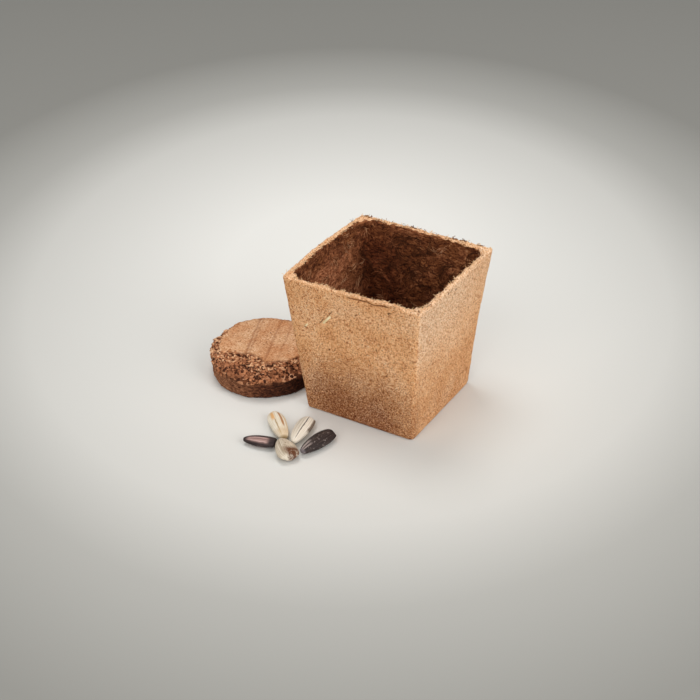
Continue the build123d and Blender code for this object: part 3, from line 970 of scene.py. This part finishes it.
def seedHullMaterial(name, seed):
    # a dry sunflower hull: woody and ribbed with a satin bloom, striped from tip to blunt end
    material, tree = newMaterial("sunflowerHull_" + name)
    place = addNode(tree, "TexCoord").outputs["Object"]
    along = addNode(tree, "Attribute", attribute_name="along").outputs["Fac"]
    across = addNode(tree, "Attribute", attribute_name="across").outputs["Fac"]
    mottle = addNode(tree, "TexNoise", {"Vector": place, "Scale": patternScale(2.2), "Detail": 4.0})
    # streaks that run the whole length and close up towards the ends
    spread = addNode(tree, "Math", {0: across, 1: 7.0}, operation="MULTIPLY")
    run = addNode(tree, "CombineXYZ", {"X": along, "Y": spread})
    streak = addNode(tree, "TexNoise", {"Vector": run, "Scale": 1.6, "Detail": 5.0, "Roughness": 0.6})
    dark, middle, light = seed["shades"]
    colour = addNode(tree, "ValToRGB", {"Fac": streak},
                     ramp=[(0.30, dark), (0.50, middle), (0.70, light)])
    wobble = addNode(tree, "Math", {0: mottle, 1: 0.16, 2: across}, operation="MULTIPLY_ADD")
    for centre, half, start, end, lineColour, strength in seed["lines"]:
        off = addNode(tree, "Math", {0: wobble, 1: centre + 0.08}, operation="SUBTRACT")
        away = addNode(tree, "Math", {0: off}, operation="ABSOLUTE")
        band = addNode(tree, "MapRange", {"Value": away, "From Min": half, "From Max": half * 0.4,
                                          "To Max": strength})
        begin = addNode(tree, "MapRange", {"Value": along, "From Min": start, "From Max": start + 0.12})
        finish = addNode(tree, "MapRange", {"Value": along, "From Min": end, "From Max": end - 0.12})
        held = addNode(tree, "Math", {0: begin, 1: finish}, operation="MULTIPLY")
        mask = addNode(tree, "Math", {0: band, 1: held}, operation="MULTIPLY")
        colour = addNode(tree, "Mix", {"Factor": mask, "A": colour, "B": toLinear(lineColour)},
                         data_type="RGBA")
    tipFade = addNode(tree, "MapRange", {"Value": along, "From Min": 0.07, "From Max": 0.01})
    colour = addNode(tree, "Mix", {"Factor": tipFade, "A": colour, "B": toLinear(seed["tip"])},
                     data_type="RGBA")
    endFade = addNode(tree, "MapRange", {"Value": along, "From Min": seed["endFrom"],
                                         "From Max": seed["endFrom"] + 0.2})
    torn = addNode(tree, "TexNoise", {"Vector": place, "Scale": patternScale(1.9), "Detail": 6.0,
                                      "Roughness": 0.7})
    endWorn = addNode(tree, "MapRange", {"Value": torn, "From Min": 0.31, "From Max": 0.51})
    endSide = addNode(tree, "MapRange", {"Value": across, "From Min": seed["endSide"],
                                         "From Max": seed["endSide"] + 0.4})
    endEdge = addNode(tree, "Math", {0: endFade, 1: endSide}, operation="MULTIPLY")
    endMask = addNode(tree, "Math", {0: endEdge, 1: endWorn}, operation="MULTIPLY")
    colour = addNode(tree, "Mix", {"Factor": endMask, "A": colour, "B": toLinear(seed["end"])},
                     data_type="RGBA")
    specks = addNode(tree, "TexNoise", {"Vector": place, "Scale": patternScale(0.9), "Detail": 2.0, "W": 4.0},
                     noise_dimensions="4D")
    speckColour, speckFrom = seed["specks"]
    speck = addNode(tree, "MapRange", {"Value": specks, "From Min": speckFrom, "From Max": speckFrom + 0.06,
                                       "To Max": 0.8})
    colour = addNode(tree, "Mix", {"Factor": speck, "A": colour, "B": toLinear(speckColour)},
                     data_type="RGBA")
    bump = addNode(tree, "Bump", {"Height": streak, "Strength": 0.35, "Distance": 0.15 * mm})
    shader = addNode(tree, "BsdfPrincipled", {"Base Color": colour, "Roughness": seed["shine"], "IOR": 1.48,
                                              "Specular IOR Level": 0.25, "Normal": bump})
    addNode(tree, "OutputMaterial", {"Surface": shader})
    return material


def addSeed(name, seed):
    length, width, thickness = (s * mm for s in seed["size"])
    material = seedHullMaterial(name, seed)
    x, y = (s * mm for s in seed["middle"])
    turn = Matrix.Rotation(math.radians(seed["heading"]), 4, "Z")
    lie = Matrix.Translation((x, y, thickness / 2)) @ turn
    for half, up in (("upper_hull", 1), ("lower_hull", -1)):
        bm = seedBlank(seed, length, width, thickness)
        sculptSeed(bm, seed, length, width, thickness)
        bmesh.ops.bisect_plane(bm, geom=bm.verts[:] + bm.edges[:] + bm.faces[:], dist=mm / 1000,
                               clear_inner=True, plane_co=(0, 0, 0), plane_no=(0, 0, up))
        # the hollow: a smaller copy turned inside out, joined to the shell along the seam
        seam = [e for e in bm.edges if e.is_boundary]
        hollow = bmesh.ops.duplicate(bm, geom=bm.verts[:] + bm.edges[:] + bm.faces[:])
        inner = [g for g in hollow["geom"] if isinstance(g, bmesh.types.BMVert)]
        wall = 2 * seedForm["hullWall"]
        bmesh.ops.scale(bm, vec=[(s - wall) / s for s in (length, width, thickness)], verts=inner)
        bmesh.ops.reverse_faces(bm, faces=[g for g in hollow["geom"] if isinstance(g, bmesh.types.BMFace)])
        rims = bmesh.ops.bridge_loops(bm, edges=seam + [hollow["edge_map"][e] for e in seam])["faces"]
        for e in {e for f in rims for e in f.edges}:
            e.smooth = False
        bmesh.ops.transform(bm, matrix=lie, verts=bm.verts)
        node = name + "_" + half
        finishPiece(node + "_shell", bm, material, name, [node])


def kernelMaterial():
    # the bare kernel, waxy and ivory with a grey bloom
    material, tree = newMaterial("sunflowerKernel")
    place = addNode(tree, "TexCoord").outputs["Object"]
    bloom = addNode(tree, "TexNoise", {"Vector": place, "Scale": patternScale(2), "Detail": 4.0})
    colour = addNode(tree, "ValToRGB", {"Fac": bloom}, ramp=[(0.35, "#B9AE98"), (0.65, "#E4D9C0")])
    shader = addNode(tree, "BsdfPrincipled", {"Base Color": colour, "Roughness": 0.5, "IOR": 1.47})
    addNode(tree, "OutputMaterial", {"Surface": shader})
    return material


kernel = kernelMaterial()
for seedName, seedSettings in seeds.items():
    addSeed(seedName, seedSettings)
    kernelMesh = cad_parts[seedName + "_kernel"].data
    kernelMesh.materials.clear()
    kernelMesh.materials.append(kernel)
print("seeds done")


# floor, light and colour

studio = {
    "floorHalf": 2.5,
    "floorMiddle": (-68 * mm, 81 * mm, 0),
    "floorReach": (149 * mm, 190 * mm, 1.0),
    "paintedLightPool": [(0.20, "#E7E6E1"), (0.38, "#D7D6D1"), (0.50, "#CBCAC5"), (0.62, "#ACABA6"),
                  (0.80, "#8E8D88")],
    "worldColour": "#FFFFFF",
    "worldStrength": 0.36,
    "softboxes": (                 # place, diameter and power
        (Vector((-0.28, 0.17, 1.02)), 0.52, 4.1),
        (Vector((0.94, -0.16, 0.55)), 0.9, 6.8),
        (Vector((0.10, -0.85, 0.62)), 0.8, 4.6),
    ),
    "softboxColour": "#FFFEFD",
}


def makeStudio():
    bm = bmesh.new()
    bmesh.ops.create_grid(bm, x_segments=1, y_segments=1, size=studio["floorHalf"])
    mesh = bpy.data.meshes.new("floor")
    bm.to_mesh(mesh)
    bm.free()
    floor = bpy.data.objects.new("floor", mesh)
    bpy.context.scene.collection.objects.link(floor)
    # matt paper with a painted pool of light: palest under the object, darker further out
    material, tree = newMaterial("mattPaperFloor")
    place = addNode(tree, "TexCoord").outputs["Object"]
    spread = addNode(tree, "Mapping", {"Vector": place, "Location": studio["floorMiddle"],
                                       "Scale": studio["floorReach"],
                                       "Rotation": (0, 0, math.radians(view["azimuth"]))},
                     vector_type="TEXTURE")
    away = addNode(tree, "VectorMath", {0: spread}, operation="LENGTH")
    share = addNode(tree, "Math", {0: away, 1: 0.5}, operation="MULTIPLY")
    colour = addNode(tree, "ValToRGB", {"Fac": share}, ramp=studio["paintedLightPool"])
    shader = addNode(tree, "BsdfPrincipled", {"Base Color": colour, "Roughness": 0.9,
                                              "Specular IOR Level": 0.1})
    addNode(tree, "OutputMaterial", {"Surface": shader})
    mesh.materials.append(material)

    world = bpy.data.worlds.new("studio")
    world.use_nodes = True
    tree = world.node_tree
    tree.nodes.clear()
    sky = addNode(tree, "Background", {"Color": toLinear(studio["worldColour"]),
                                       "Strength": studio["worldStrength"]})
    addNode(tree, "OutputWorld", {"Surface": sky})
    bpy.context.scene.world = world

    for i, (place, size, power) in enumerate(studio["softboxes"]):
        data = bpy.data.lights.new("softbox%d" % i, "AREA")
        data.shape = "DISK"
        data.size = size
        data.energy = power
        data.color = toLinear(studio["softboxColour"])[:3]
        lamp = bpy.data.objects.new(data.name, data)
        lamp.matrix_world = Matrix.Translation(place) @ place.to_track_quat("Z", "Y").to_matrix().to_4x4()
        bpy.context.scene.collection.objects.link(lamp)
    bpy.context.scene.view_settings.view_transform = "Standard"


makeStudio()
print("studio ready")
